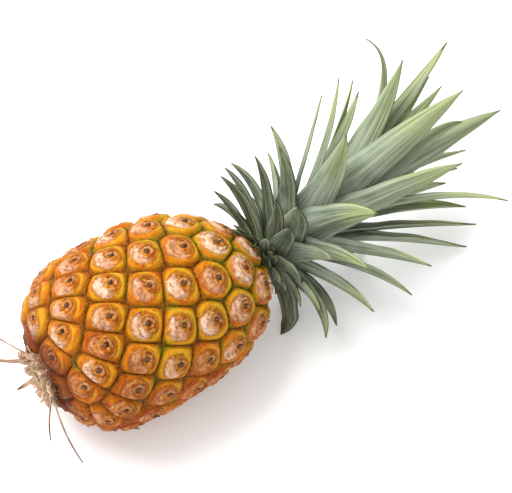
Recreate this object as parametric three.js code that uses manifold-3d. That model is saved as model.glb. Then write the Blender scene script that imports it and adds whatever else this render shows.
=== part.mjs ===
// A ripe pineapple lying on its side: the fruit with its rind of eyes, the leafy crown,
// the cut stub of its stalk and the dried collar of leaves round that stub.
// Millimetres. +X runs along the fruit from its base to its crown, +Z is up, the floor is z = 0.
import * as THREE from 'three';
import { ConvexHull } from 'three/addons/math/ConvexHull.js';
import { mergeVertices } from 'three/addons/utils/BufferGeometryUtils.js';
import Module from 'manifold-3d';

const wasm = await Module();
wasm.setup();

// Fruit
const fruitRadius = 57.5;
const bellyX = -10.2;          // where the barrel is thickest
const baseReach = 65.8;        // from the belly to the blunt base end
const baseRoundness = 3.6;
const crownReach = 88.5;       // from the belly to the crown end
const crownRoundness = 2.5;
const neckX = 74;
const crownSag = 6;            // the crown end sags sideways, to -Y, by this much at the neck
const grooveDepth = 2.4;       // groove between eyes, below the barrel
const domeHeight = 0.9;        // middle of an eye, above the barrel
const domeReach = 8.5;         // from a groove to where the dome is flat
const restFlat = 1.9;          // how far the lowest eyes are pressed flat
const axisHeight = fruitRadius + domeHeight - restFlat;

// Eyes: one every golden angle, with a slow twist and a slow change of pitch towards the crown
const firstEye = -46;
const lastEye = 57;
const goldenAngle = 137.508;
const eyesPerUnit = 50;
const eyeX = [-17.3, 71.3, 8.5];
const eyeTurn = [30.8, 6.3, -33.7, 4.3];
const eyeRings = [[0.8], [0.45, 0.8]];   // towards the corners and towards the sides of an eye
const nearest = 1.7;                     // points of the rind are never closer than this

// Ends of the fruit
const socketRadius = 15;
const socketFloorX = 70;
const recessRadius = 16.5;
const recessFloorX = -70;
const gap = 0.3;

// Crown
const crownLift = 8;           // the crown leans up from the fruit's axis
const crownSide = 7;           // and to +Y
const coreTopAt = 54;
const leafCount = 66;
const leafStations = [[0, 4], [76, 4], [96, 6], [200, 6]];   // by length
const leafBow = 0.18;          // depth of the gutter as a part of the width
const leafMiddle = 1.7;        // thickness along the middle of a leaf
const leafEdge = 0.7;          // thickness along its edges
const leafClear = 2.7;         // leaves stay this far off the rind
const floorClear = 0.4;
const floorSoftness = 3;

// How the leaves change up the crown: pairs of place (0 lowest leaf, 1 topmost) and value
const crownPlan = {
  at: [[0, 4], [0.15, 6.5], [0.45, 18], [0.55, 25], [1, 50]],
  radius: [[0, 15], [0.45, 13], [0.55, 11], [1, 3]],
  startTilt: [[0, 75], [0.15, 68], [0.42, 58], [0.55, 42], [0.72, 27], [0.88, 14], [1, 4]],
  endTilt: [[0, 112], [0.15, 100], [0.42, 84], [0.55, 62], [0.72, 38], [0.88, 21], [1, 8]],
  length: [[0, 28], [0.12, 44], [0.2, 54], [0.45, 64], [0.55, 84], [0.66, 120], [0.8, 136], [0.9, 130], [1, 85]],
  width: [[0, 12], [0.15, 15], [0.42, 17], [0.55, 21], [0.7, 25], [0.88, 22], [1, 12]],
};

// Leaves that stand out from the plan
const ownLeaves = {
  6: { length: 76, around: 158, startTilt: 86, endTilt: 122, width: 18 },
  11: { length: 42, around: 100, width: 16 },
  14: { length: 58, around: 195 },
  15: { length: 47, around: 297 },
  16: { length: 57, around: 120, endTilt: 120 },
  19: { length: 59, around: 139, endTilt: 104 },
  20: { length: 54 },
  26: { length: 54, width: 23, endTilt: 92 },
  28: { length: 52, around: 292, endTilt: 94 },
  29: { width: 21 },
  31: { width: 22 },
  32: { length: 84 },
  34: { length: 73, width: 26 },
  35: { length: 84 },
  36: { length: 66 },
  37: { length: 88, around: 106, endTilt: 58 },
  38: { length: 73, around: 212 },
  39: { length: 80, around: 8, width: 25 },
  40: { length: 129, around: 138 },
  41: { length: 88, width: 9, endTilt: 33 },
  43: { length: 136, around: 140, endTilt: 43, width: 15 },
  44: { length: 98, width: 9, endTilt: 38 },
  45: { length: 146, around: 79, startTilt: 21, endTilt: 75, width: 10, sway: 0.21 },
  46: { length: 114, width: 10, endTilt: 33 },
  47: { length: 138, around: 18, endTilt: 27, width: 27 },
  48: { around: 158, endTilt: 36 },
  49: { length: 92, endTilt: 24, width: 22 },
  50: { length: 95, around: 79, endTilt: 19 },
  51: { length: 125, around: 48, endTilt: 23, hook: 60, width: 20 },
  53: { length: 109, around: 135, endTilt: 22 },
  52: { length: 120, width: 26 },
  55: { length: 140, around: 52, endTilt: 18, width: 29 },
  57: { length: 142, endTilt: 14, width: 27 },
  58: { length: 112, around: 105 },
  62: { length: 131, around: 357, startTilt: 0, endTilt: 56, sway: 0.4, hook: 71, width: 10 },
};

// Stub and dried collar at the base
const stubRadius = 10.5;
const stubEndX = -79.5;
const stubBevel = 1.5;
const collarInner = 11;
const collarOuter = 15.8;
const collarTopX = -76;
const bractCount = 11;
const dryThickness = 0.8;
const strands = [
  { around: 318, tilt: 50, droop: 18, length: 40, width: 3 },
  { around: 262, tilt: 30, droop: 25, length: 34, width: 4 },
  { around: 88, tilt: 46, droop: 20, length: 34, width: 3.4 },
  { around: 126, tilt: 76, droop: 22, length: 47, width: 2.6 },
  { around: 205, tilt: 58, droop: 25, length: 30, width: 3.2 },
];

const radians = THREE.MathUtils.degToRad;
const vector = (x, y, z) => new THREE.Vector3(x, y, z);
const fruitCentre = vector(0, 0, axisHeight);

// Repeatable scatter from -1 to 1
function scatter(index, salt) {
  const wave = Math.sin(index * 12.9898 + salt * 78.233) * 43758.5453;
  return 2 * (wave - Math.floor(wave)) - 1;
}

function alongPlan(pairs, place) {
  for (let i = 1; i < pairs.length; i += 1) {
    const [startPlace, startValue] = pairs[i - 1];
    const [endPlace, endValue] = pairs[i];
    if (place <= endPlace) {
      return THREE.MathUtils.mapLinear(place, startPlace, endPlace, startValue, endValue);
    }
  }
  return pairs[pairs.length - 1][1];
}

function polynomial(terms, value) {
  return terms.reduce((sum, term, power) => sum + term * value ** power, 0);
}

// Barrel of the fruit, about its own centre: zero on the surface, negative inside
function barrelLevel(point) {
  const fromBelly = point.x - bellyX;
  const alongPart = fromBelly < 0
    ? (-fromBelly / baseReach) ** baseRoundness
    : (fromBelly / crownReach) ** crownRoundness;
  return alongPart + (point.y ** 2 + point.z ** 2) / fruitRadius ** 2 - 1;
}

function barrelNormal(point) {
  const fromBelly = point.x - bellyX;
  const slope = fromBelly < 0
    ? -baseRoundness * (-fromBelly / baseReach) ** (baseRoundness - 1) / baseReach
    : crownRoundness * (fromBelly / crownReach) ** (crownRoundness - 1) / crownReach;
  const across = 2 / fruitRadius ** 2;
  return vector(slope, point.y * across, point.z * across).normalize();
}

// Sideways sag of the barrel towards its crown end
function sagAt(x) {
  return -crownSag * (Math.max(0, x) / neckX) ** 2;
}

function barrelRadius(x) {
  return fruitRadius * Math.sqrt(Math.max(0, -barrelLevel(vector(x, 0, 0))));
}

// Moves a point along its ray from the centre onto the barrel
function ontoBarrel(point) {
  let low = 0.2;
  let high = 5;
  for (let step = 0; step < 40; step += 1) {
    const middle = (low + high) / 2;
    if (barrelLevel(point.clone().multiplyScalar(middle)) > 0) {
      high = middle;
    } else {
      low = middle;
    }
  }
  return point.clone().multiplyScalar(low);
}

function eyeCentre(index) {
  const place = index / eyesPerUnit;
  const x = polynomial(eyeX, place);
  const turn = radians(polynomial(eyeTurn, place) - goldenAngle * index);
  const radius = barrelRadius(x);
  return vector(x, -radius * Math.sin(turn), radius * Math.cos(turn));
}

const eyes = [];
for (let index = firstEye; index <= lastEye; index += 1) {
  eyes.push(eyeCentre(index));
}

// Height of the rind over the barrel: a dome over every eye, a groove half way between two eyes
function reliefAt(point) {
  const distances = eyes.map((eye) => eye.distanceTo(point)).sort((a, b) => a - b);
  const toGroove = Math.min(1, (distances[1] - distances[0]) / 2 / domeReach);
  return domeHeight - (domeHeight + grooveDepth) * (1 - toGroove) ** 2.2;
}

function hullTriangles(points) {
  const tagged = points.map((point, index) => Object.assign(point.clone(), { index }));
  const hull = new ConvexHull().setFromPoints(tagged);
  return hull.faces.map((face) => {
    const corners = [];
    let edge = face.edge;
    do {
      corners.push(edge.head().point.index);
      edge = edge.next;
    } while (edge !== face.edge);
    return corners;
  });
}

function solidFromTriangles(points, triangles) {
  const geometry = new THREE.BufferGeometry();
  geometry.setAttribute('position', new THREE.Float32BufferAttribute(points.flatMap((p) => p.toArray()), 3));
  geometry.setIndex(triangles.flat());
  return solidFromGeometry(geometry);
}

function solidFromGeometry(geometry) {
  const bare = geometry.clone();
  bare.deleteAttribute('normal');
  bare.deleteAttribute('uv');
  const merged = mergeVertices(bare, 1e-5);
  const mesh = new wasm.Mesh({
    numProp: 3,
    vertProperties: new Float32Array(merged.attributes.position.array),
    triVerts: new Uint32Array(merged.index.array),
  });
  return new wasm.Manifold(mesh);
}

function geometryFromSolid(solid) {
  const mesh = solid.getMesh();
  const geometry = new THREE.BufferGeometry();
  geometry.setAttribute('position', new THREE.BufferAttribute(new Float32Array(mesh.vertProperties), 3));
  geometry.setIndex(new THREE.BufferAttribute(new Uint32Array(mesh.triVerts), 1));
  geometry.computeVertexNormals();
  return geometry;
}

// The outer skin of a joined body, with the pockets shut in between its parts filled
function filled(solid) {
  return solid.decompose().reduce((best, body) => (body.volume() > best.volume() ? body : best));
}

// A round bar along X at the height of the fruit's axis
function barAlongX(radius, startX, endX, sides, y = 0) {
  const geometry = new THREE.CylinderGeometry(radius, radius, endX - startX, sides);
  geometry.rotateZ(-Math.PI / 2);
  geometry.translate((startX + endX) / 2, y, axisHeight);
  return solidFromGeometry(geometry);
}

// Points of the rind, laid so that every eye has its own rings and every groove its own line
function rindPoints() {
  const points = [];
  const add = (point) => {
    const placed = ontoBarrel(point);
    if (points.every((other) => other.distanceTo(placed) > nearest)) {
      points.push(placed);
    }
  };
  const corners = [];
  const sides = [];
  for (const triangle of hullTriangles(eyes)) {
    const [a, b, c] = triangle.map((index) => eyes[index]);
    const middle = vector(0, 0, 0);
    new THREE.Triangle(a, b, c).getMidpoint(middle);
    const equal = circumcentre(a, b, c);
    corners.push({ point: middle.lerp(equal, 0.9), around: [a, b, c] });
    for (const [from, to] of [[a, b], [b, c], [c, a]]) {
      if (eyes.indexOf(from) < eyes.indexOf(to)) {
        sides.push({ point: from.clone().lerp(to, 0.5), around: [from, to] });
      }
    }
  }
  eyes.forEach(add);
  corners.forEach((corner) => add(corner.point));
  sides.forEach((side) => add(side.point));
  [corners, sides].forEach((marks, kind) => {
    for (const part of eyeRings[kind]) {
      marks.forEach((mark) => mark.around.forEach((eye) => add(eye.clone().lerp(mark.point, part))));
    }
  });
  return points;
}

function circumcentre(a, b, c) {
  const ab = b.clone().sub(a);
  const ac = c.clone().sub(a);
  const normal = ab.clone().cross(ac);
  const first = normal.clone().cross(ab).multiplyScalar(ac.lengthSq());
  const second = ac.clone().cross(normal).multiplyScalar(ab.lengthSq());
  return first.add(second).divideScalar(2 * normal.lengthSq()).add(a);
}

function makeFruit() {
  const bare = rindPoints();
  const triangles = hullTriangles(bare);
  const raised = bare.map((point) => {
    const moved = point.clone().addScaledVector(barrelNormal(point), reliefAt(point)).add(fruitCentre);
    moved.y += sagAt(point.x);
    moved.z = Math.max(0, moved.z);
    return moved;
  });
  const body = solidFromTriangles(raised, triangles);
  const socket = barAlongX(socketRadius, socketFloorX, 120, 24, -crownSag);
  const recess = barAlongX(recessRadius, -120, recessFloorX, 28);
  return body.subtract(socket).subtract(recess);
}

// Crown frame: its own axis, a side direction and an upward direction across it
const crownAxis = vector(1, Math.tan(radians(crownSide)), Math.tan(radians(crownLift))).normalize();
const crownAcross = crownAxis.clone().cross(vector(0, 0, 1)).normalize();
const crownUp = crownAcross.clone().cross(crownAxis);
const neck = vector(neckX, -crownSag, axisHeight);

function leafRule(index) {
  const place = index / (leafCount - 1);
  const rule = { around: index * goldenAngle + 40 + 10 * scatter(index, 1), hook: 0 };
  for (const [name, pairs] of Object.entries(crownPlan)) {
    rule[name] = alongPlan(pairs, place);
  }
  rule.startTilt += 5 * scatter(index, 2);
  rule.endTilt += 9 * scatter(index, 3);
  rule.length *= 1 + 0.14 * scatter(index, 4);
  rule.width *= 1 + 0.12 * scatter(index, 5);
  rule.sway = 0.16 * scatter(index, 6);
  return Object.assign(rule, ownLeaves[index]);
}

// Width of a leaf along its length as a part of its full width
function leafTaper(part) {
  return (1 - part ** 3) * (0.86 + 0.14 * Math.sin(Math.PI * Math.min(1, part * 2.2)));
}

// Keeps a point of a leaf above the floor and off the shoulder of the fruit
function keepClear(point, spare) {
  const lowest = floorClear + spare;
  const over = (point.z - lowest) / floorSoftness;
  const kept = point.clone();
  kept.z = over > 20 ? point.z : lowest + floorSoftness * Math.log1p(Math.exp(over));
  const radius = Math.hypot(kept.y + crownSag, kept.z - axisHeight);
  const inside = 1 - (Math.min(radius, fruitRadius) / fruitRadius) ** 2;
  const shoulderX = bellyX + crownReach * inside ** (1 / crownRoundness) + leafClear;
  kept.x = Math.max(kept.x, shoulderX);
  return kept;
}

// Middle line of a leaf with its side direction, base to tip
function leafSpine(rule) {
  const turn = radians(rule.around);
  const outward = crownUp.clone().multiplyScalar(Math.cos(turn)).addScaledVector(crownAcross, Math.sin(turn));
  const side = crownAxis.clone().cross(outward).negate();
  const fine = 48;
  let point = neck.clone().addScaledVector(crownAxis, rule.at).addScaledVector(outward, rule.radius - 4);
  const free = [point];
  for (let step = 0; step < fine; step += 1) {
    const part = (step + 0.5) / fine;
    const curl = radians(rule.hook) * Math.max(0, (part - 0.75) / 0.25) ** 1.5;
    const tilt = radians(rule.startTilt + (rule.endTilt - rule.startTilt) * part ** 1.2) + curl;
    const heading = crownAxis.clone().multiplyScalar(Math.cos(tilt));
    heading.addScaledVector(outward, Math.sin(tilt)).addScaledVector(side, rule.sway * 2 * part).normalize();
    point = point.clone().addScaledVector(heading, rule.length / fine);
    free.push(point);
  }
  const spine = free.map((place, step) => {
    const spare = leafMiddle / 2 + Math.abs(side.z) * rule.width * 0.5 * leafTaper(step / fine);
    return keepClear(place, spare);
  });
  return { spine, side, fine };
}

// Closed gutter-shaped blade; both faces are split into triangles alike
function bladeSolid(frames) {
  const points = [];
  const triangles = [];
  for (const { centre, side, face, width, bow, middle, edge } of frames) {
    for (const [across, thick, top] of [
      [-0.5, edge, 1], [0, middle, 1], [0.5, edge, 1],
      [0.5, edge, -1], [0, middle, -1], [-0.5, edge, -1],
    ]) {
      const rise = (across === 0 ? 0 : bow * width) + top * thick / 2;
      points.push(centre.clone().addScaledVector(side, across * width).addScaledVector(face, rise));
    }
  }
  const ring = 6;
  const middles = [1, 4];
  for (let station = 0; station < frames.length - 1; station += 1) {
    const from = station * ring;
    for (let i = 0; i < ring; i += 1) {
      const next = (i + 1) % ring;
      const [a, b] = [from + i, from + next];
      const [c, d] = [b + ring, a + ring];
      if (middles.includes(i)) {
        triangles.push([a, b, c], [a, c, d]);
      } else {
        triangles.push([a, b, d], [b, c, d]);
      }
    }
  }
  const last = (frames.length - 1) * ring;
  for (const [start, order] of [[0, [2, 1]], [last, [1, 2]]]) {
    for (const [a, b, c] of [[0, 1, 5], [1, 4, 5], [1, 2, 4], [2, 3, 4]]) {
      const fan = [b, c];
      triangles.push([start + a, start + fan[order[0] - 1], start + fan[order[1] - 1]]);
    }
  }
  return solidFromTriangles(points, triangles);
}

function leafSolid(index) {
  const rule = leafRule(index);
  const { spine, side, fine } = leafSpine(rule);
  const stations = Math.round(alongPlan(leafStations, rule.length));
  const frames = [];
  for (let station = 0; station <= stations; station += 1) {
    const step = Math.round((station / stations) * fine);
    const part = step / fine;
    const before = spine[Math.max(0, step - 1)];
    const after = spine[Math.min(fine, step + 1)];
    const heading = after.clone().sub(before).normalize();
    const across = side.clone().addScaledVector(heading, -side.dot(heading)).normalize();
    frames.push({
      centre: spine[step],
      side: across,
      face: across.clone().cross(heading),
      width: Math.max(1, rule.width * leafTaper(part)),
      bow: leafBow * (1 + part),
      middle: THREE.MathUtils.lerp(leafMiddle, leafEdge, part),
      edge: leafEdge,
    });
  }
  return bladeSolid(frames);
}

// Core of the crown: a plug in the socket of the fruit, then a cone along the crown's own axis
function coreSolid() {
  const sides = 16;
  const plugRadius = socketRadius - gap;
  const straight = vector(1, 0, 0);
  const rings = [
    { centre: vector(socketFloorX + gap, -crownSag, axisHeight), axis: straight, radius: plugRadius },
    { centre: vector(neckX + 4.3, -crownSag, axisHeight), axis: straight, radius: plugRadius },
  ];
  for (const [at, radius] of [[9, 14.5], [18, 12.5], [30, 9.5], [42, 7], [50, 5], [coreTopAt, 2.5]]) {
    rings.push({ centre: neck.clone().addScaledVector(crownAxis, at), axis: crownAxis, radius });
  }
  const points = [];
  const triangles = [];
  rings.forEach(({ centre, axis, radius }, level) => {
    const across = axis.clone().cross(vector(0, 0, 1)).normalize();
    const up = across.clone().cross(axis);
    for (let i = 0; i < sides; i += 1) {
      const angle = (i / sides) * 2 * Math.PI;
      const next = (i + 1) % sides;
      points.push(centre.clone().addScaledVector(across, radius * Math.cos(angle))
        .addScaledVector(up, radius * Math.sin(angle)));
      if (level > 0) {
        const [a, b] = [(level - 1) * sides + i, (level - 1) * sides + next];
        triangles.push([a, b + sides, b], [a, a + sides, b + sides]);
      }
    }
  });
  const bottom = points.push(rings[0].centre) - 1;
  const top = points.push(rings[rings.length - 1].centre) - 1;
  const last = (rings.length - 1) * sides;
  for (let i = 0; i < sides; i += 1) {
    const next = (i + 1) % sides;
    triangles.push([bottom, i, next], [top, last + next, last + i]);
  }
  return solidFromTriangles(points, triangles);
}

function makeCrown() {
  let crown = coreSolid();
  for (let index = 0; index < leafCount; index += 1) {
    crown = crown.add(leafSolid(index));
  }
  return filled(crown);
}

function makeStub() {
  const profile = [
    [0, recessFloorX - gap], [stubRadius - 0.5, recessFloorX - gap], [stubRadius, -76],
    [stubRadius, stubEndX + stubBevel], [stubRadius - stubBevel, stubEndX], [4, stubEndX + 0.8], [0, stubEndX + 1.6],
  ].map(([radius, x]) => new THREE.Vector2(radius, -x));
  const geometry = new THREE.LatheGeometry(profile, 20);
  geometry.rotateZ(Math.PI / 2);
  geometry.translate(0, 0, axisHeight);
  return solidFromGeometry(geometry);
}

// One flat dry blade that leaves the collar and bends away from the base of the fruit
function dryBlade({ around, tilt, droop, length, width }, startRadius, stations) {
  const turn = radians(around);
  const outward = vector(0, -Math.sin(turn), Math.cos(turn));
  const back = vector(-1, 0, 0);
  const side = back.clone().cross(outward).negate();
  const frames = [];
  let point = vector(collarTopX + 1, 0, axisHeight).addScaledVector(outward, startRadius);
  for (let station = 0; station <= stations; station += 1) {
    const part = station / stations;
    const angle = radians(tilt + droop * part);
    const heading = back.clone().multiplyScalar(Math.cos(angle)).addScaledVector(outward, Math.sin(angle));
    frames.push({
      centre: vector(point.x, point.y, Math.max(point.z, dryThickness)),
      side,
      face: side.clone().cross(heading),
      width: Math.max(1, width * (1 - part ** 2) ** 0.7),
      bow: 0.08,
      middle: dryThickness,
      edge: dryThickness,
    });
    point = point.clone().addScaledVector(heading, length / stations);
  }
  return bladeSolid(frames);
}

function makeDryLeaves() {
  const ring = barAlongX(collarOuter, collarTopX, recessFloorX - gap, 24);
  let collar = ring.subtract(barAlongX(collarInner, -120, 0, 24));
  for (let index = 0; index < bractCount; index += 1) {
    const bract = {
      around: (index * 360) / bractCount + 8 * scatter(index, 11),
      tilt: 52 + 12 * scatter(index, 12),
      droop: 28,
      length: 9.5 + 2.5 * scatter(index, 13),
      width: 7.5,
    };
    collar = collar.add(dryBlade(bract, 13.5, 2));
  }
  strands.forEach((strand) => {
    collar = collar.add(dryBlade(strand, 13.5, 6));
  });
  return filled(collar);
}

const pineapple = new THREE.Group();
pineapple.name = 'pineapple';

function addPiece(name, solid, colour, roughness) {
  const material = new THREE.MeshStandardMaterial({ color: colour, roughness, metalness: 0 });
  const mesh = new THREE.Mesh(geometryFromSolid(solid), material);
  mesh.name = name;
  pineapple.add(mesh);
}

addPiece('fruit', makeFruit(), '#d9932f', 0.55);
addPiece('crown', makeCrown(), '#7d9a72', 0.6);
addPiece('stem_stub', makeStub(), '#c9b48c', 0.85);
addPiece('dry_leaves', makeDryLeaves(), '#9a7a52', 0.9);

export default pineapple;
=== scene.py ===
import math

import bpy
import numpy as np
from mathutils import Matrix, Vector


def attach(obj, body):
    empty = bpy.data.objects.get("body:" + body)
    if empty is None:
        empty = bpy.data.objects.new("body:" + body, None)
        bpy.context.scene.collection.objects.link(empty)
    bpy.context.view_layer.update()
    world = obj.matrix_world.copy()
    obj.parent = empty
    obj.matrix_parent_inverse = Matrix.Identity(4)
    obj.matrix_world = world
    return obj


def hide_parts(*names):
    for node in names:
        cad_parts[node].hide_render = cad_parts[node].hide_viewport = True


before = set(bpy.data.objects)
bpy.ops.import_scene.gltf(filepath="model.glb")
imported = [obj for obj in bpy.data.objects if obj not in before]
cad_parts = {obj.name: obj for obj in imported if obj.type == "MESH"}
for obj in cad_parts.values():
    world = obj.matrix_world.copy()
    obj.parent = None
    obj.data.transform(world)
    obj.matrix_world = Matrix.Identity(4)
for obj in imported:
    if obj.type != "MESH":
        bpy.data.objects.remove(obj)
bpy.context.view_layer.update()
mm = 0.001  # lengths below are in millimetres, angles in degrees


# Small helpers for shapes


def scatter(index, salt):
    # repeatable, from -1 to 1
    wave = np.sin(index * 12.9898 + salt * 78.233) * 43758.5453
    return 2 * (wave - np.floor(wave)) - 1


def unit(vectors):
    return vectors / np.linalg.norm(vectors, axis=-1, keepdims=True)


def smooth(value, low, high):
    part = np.clip((value - low) / (high - low), 0, 1)
    return part * part * (3 - 2 * part)


def bump(value, middle, width):
    return np.exp(-(((value - middle) / width) ** 2))


def tubeFaces(rings, sides, start=0, capped=True):
    # quads between rings of points stored one after the other, and a lid at both ends if capped
    ring, side = np.meshgrid(np.arange(rings - 1), np.arange(sides), indexing="ij")
    after = (side + 1) % sides
    low, high = ring * sides, (ring + 1) * sides
    corners = [low + side, high + side, high + after, low + after]
    faces = (np.stack(corners, axis=-1).reshape(-1, 4) + start).tolist()
    if capped:
        faces.append(list(range(start, start + sides)))
        faces.append(list(range(start + rings * sides - 1, start + (rings - 1) * sides - 1, -1)))
    return faces


def makePiece(name, node, blocks, faces, material, marks):
    # blocks of points in millimetres, and marks: three numbers stored on every point for the material
    mesh = bpy.data.meshes.new(name)
    mesh.from_pydata((np.concatenate(blocks) * mm).tolist(), [], faces)
    for markName, values in marks.items():
        mark = mesh.attributes.new(markName, "FLOAT_VECTOR", "POINT")
        mark.data.foreach_set("vector", np.concatenate(values).astype(np.float32).ravel())
    mesh.shade_smooth()
    mesh.materials.append(material)
    piece = bpy.data.objects.new(name, mesh)
    bpy.context.scene.collection.objects.link(piece)
    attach(piece, "root")
    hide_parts(node)
    print(name, "made with", len(mesh.polygons), "faces")


class Bunch:
    # blades and tubes gathered into one piece, with a place for every point and one tone for each blade

    def __init__(self):
        self.blocks, self.faces, self.places, self.tones = [], [], [], []
        self.size = 0

    def add(self, rings, places, tone, capped=True):
        self.faces += tubeFaces(*rings.shape[:2], self.size, capped)
        self.blocks.append(rings.reshape(-1, 3))
        self.places.append(places)
        self.tones.append(np.tile(tone, (len(places), 1)))
        self.size += len(places)

    def make(self, name, node, material):
        marks = {"bladePlace": self.places, "bladeTone": self.tones}
        makePiece(name, node, self.blocks, self.faces, material, marks)


# Small helpers for materials


class Wire:
    # an output of a node; an expression on wires adds its Math nodes

    def __init__(self, paint, socket):
        self.paint = paint
        self.socket = socket

    def math(self, operation, *values):
        return self.paint.add("ShaderNodeMath", {"operation": operation}, values)

    def __add__(self, other):
        return self.math("ADD", self, other)

    def __sub__(self, other):
        return self.math("SUBTRACT", self, other)

    def __rsub__(self, other):
        return self.math("SUBTRACT", other, self)

    def __mul__(self, other):
        return self.math("MULTIPLY", self, other)

    def __truediv__(self, other):
        return self.math("DIVIDE", self, other)

    def __pow__(self, other):
        return self.math("POWER", self, other)

    def __neg__(self):
        return self.math("MULTIPLY", self, -1)

    def __abs__(self):
        return self.math("ABSOLUTE", self)

    __radd__ = __add__
    __rmul__ = __mul__

    def step(self, low, high):
        # soft step from 0 at low to 1 at high
        values = (self, low, high, 0, 1)
        return self.paint.add("ShaderNodeMapRange", {"interpolation_type": "SMOOTHSTEP"}, values)

    def band(self, middle, width):
        # 1 at the middle value, soft down to 0 on both sides
        return 1 - abs(self - middle).step(0, width)


class Paint:
    # one material and the nodes of its shader

    def __init__(self, name):
        self.material = bpy.data.materials.new(name)
        self.material.use_nodes = True
        self.tree = self.material.node_tree
        self.tree.nodes.clear()

    def add(self, kind, settings=None, values=(), output=0):
        # settings first, then a value or a wire for each socket, by its name or its number
        node = self.tree.nodes.new(kind)
        for name, value in (settings or {}).items():
            if name == "stops":
                self.setStops(node.color_ramp.elements, value)
            else:
                setattr(node, name, value)
        if not isinstance(values, dict):
            values = dict(enumerate(values))
        for name, value in values.items():
            socket = node.inputs[name]
            if isinstance(value, Wire):
                self.tree.links.new(value.socket, socket)
            elif socket.type == "RGBA":
                socket.default_value = (*value, 1)
            else:
                socket.default_value = value
        return Wire(self, node.outputs[output]) if node.outputs else None

    def setStops(self, elements, stops):
        while len(elements) < len(stops):
            elements.new(0.5)
        for element, (place, colour) in zip(elements, stops):
            element.position = place
            element.color = (*colour, 1)

    def mark(self, name):
        # the three numbers stored on the points of the mesh
        stored = self.add("ShaderNodeAttribute", {"attribute_name": name}, output="Vector")
        return [self.add("ShaderNodeSeparateXYZ", None, (stored,), axis) for axis in range(3)]

    def place(self):
        # the point itself, in metres
        return self.add("ShaderNodeTexCoord", output="Object")

    def height(self, place):
        return self.add("ShaderNodeSeparateXYZ", None, (place,), 2)

    def join(self, x, y, z):
        return self.add("ShaderNodeCombineXYZ", None, (x, y, z))

    def noise(self, vector, scale, detail, roughness=0.5):
        values = {"Vector": vector, "Scale": scale, "Detail": detail, "Roughness": roughness}
        return self.add("ShaderNodeTexNoise", None, values)

    def ramp(self, factor, stops):
        return self.add("ShaderNodeValToRGB", {"stops": stops}, (factor,))

    def mix(self, factor, first, second):
        return self.add("ShaderNodeMix", {"data_type": "RGBA"}, {0: factor, 6: first, 7: second}, 2)

    def bump(self, height, strength, distance):
        values = {"Strength": strength, "Distance": distance, "Height": height}
        return self.add("ShaderNodeBump", None, values)

    def finish(self, values):
        shader = self.add("ShaderNodeBsdfPrincipled", None, values)
        self.add("ShaderNodeOutputMaterial", None, {"Surface": shader})
        return self.material


# Fruit: the barrel that carries the rind, with a socket for the crown and a recess for the stub

fruit = {
    "radius": 57.5,
    "halfLength": 75,
    "bellyX": -10.2,  # the thickest place, along the axis
    "baseReach": 65.8,
    "baseRoundness": 3.6,
    "crownReach": 88.5,
    "crownRoundness": 2.5,
    "neckX": 74,
    "crownSag": 6,  # the crown end bends this far sideways
    "axisHeight": 56.5,
    "socketRadius": 15,
    "socketFloorX": 71.5,
    "recessRadius": 16.5,
    "recessFloorX": -70,
    "hollow": [(0.5, 0.985), (1, 0.97), (1, 0.6), (1, 0.05)],  # its rings, as parts of its depth and width
    "goldenAngle": 137.508,  # from one eye to the next, and from leaf to leaf
}

# Rind: an eye every golden angle, each a low dome with a round face, a papery scale and a pit

rind = {
    "rows": 236,
    "columns": 384,
    "firstEye": -46,
    "lastEye": 57,
    "eyesPerStep": 50,
    "alongAxis": (-17.3, 71.3, 8.5),  # where the eyes sit: powers of the step, from 0 up
    "extraTurn": (30.8, 6.3, -33.7, 4.3),  # how far they turn off the golden angle, the same way
    "grooveDepth": 3.0,
    "domeHeight": 0.9,
    "domeReach": 5.8,
    "domeFullness": 2.9,
    "cornerRounding": 1.5,
    "pitAhead": 2.1,  # the pit lies this far to the crown's side of the middle
    "pitVary": (0.5, 0.6),  # ahead and aside
    "pitDepth": 1.2,
    "pitWidth": 1.4,
    "faceBehind": 3.0,  # the middle of the round face lies this far behind the pit
    "faceRadius": 8.5,
    "faceDrop": 0.5,
    "creaseDepth": 0.7,
    "creaseWidth": 0.9,
    "scaleLift": 0.9,  # free edge of the papery scale over the skin
    "scaleInner": (2.4, 3.4),
    "scaleOuter": (5.6, 7.4),
    "foldHeight": 0.5,
    "foldRadius": 4.9,
    "sepalHeight": 0.6,
    "sepalRadius": 2.6,
    "wrinkleHeight": 0.16,
    "clearOfFloor": 0.05,
    "amber": [
        (0.05, (0.56, 0.27, 0.006)),
        (0.25, (0.54, 0.18, 0.004)),
        (0.45, (0.47, 0.11, 0.003)),
        (0.75, (0.28, 0.040, 0.002)),
    ],
    "unripe": (0.34, 0.23, 0.006),
    "hoops": [
        (0.36, (0.19, 0.032, 0.003)),
        (0.46, (0.38, 0.095, 0.006)),
        (0.57, (0.52, 0.18, 0.022)),
        (0.7, (0.64, 0.36, 0.12)),
    ],
    "scalePink": (0.54, 0.26, 0.13),
    "scaleCream": (0.76, 0.54, 0.40),
    "scaleByCrown": (0.84, 0.66, 0.46),
    "vein": (0.30, 0.09, 0.015),
    # painted highlight on the lit outer edge of a face
    "litEdge": (0.62, 0.34, 0.02),
    "fold": (0.20, 0.045, 0.004),
    "crease": (0.30, 0.08, 0.004),
    "pitHighlight": (0.66, 0.45, 0.25),
    # painted highlight beside the pit, on one side only
    "pit": (0.05, 0.018, 0.005),
    "grooveBrown": (0.36, 0.105, 0.003),
    "grooveGreen": (0.22, 0.17, 0.004),
    "grooveSpot": (0.10, 0.032, 0.003),
    # painted shade at the bottom of the grooves, then dark skin by the stub that also paints shade in the
    # hollows
    "grooveShade": (0.055, 0.020, 0.003),
    "stubSkinAndShade": (0.11, 0.022, 0.010),
}


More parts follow.
